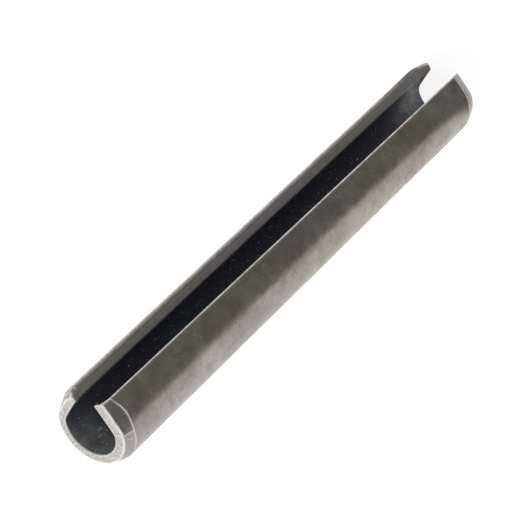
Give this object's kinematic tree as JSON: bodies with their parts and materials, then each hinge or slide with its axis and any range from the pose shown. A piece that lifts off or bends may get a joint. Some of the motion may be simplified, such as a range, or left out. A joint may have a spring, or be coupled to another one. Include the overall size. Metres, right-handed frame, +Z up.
{
  "type": "spring pin",
  "caption": "Slotted spring pin: a spring-steel tube with one lengthwise slot and tapered ends, pressed into a drilled hole to hold two parts together.",
  "frame": {"origin": "on the pin's axis, at its lower end face", "axes": "+Z up along the pin, -Y out of the middle of its slot"},
  "size_m": [0.0086, 0.0079, 0.065],
  "materials": {
    "spring_steel": "plain oil-quenched steel, satin, brownish grey with fine mottling"
  },
  "bodies": {
    "root": {"spring_pin": "spring_steel"}
  },
  "joints": []
}
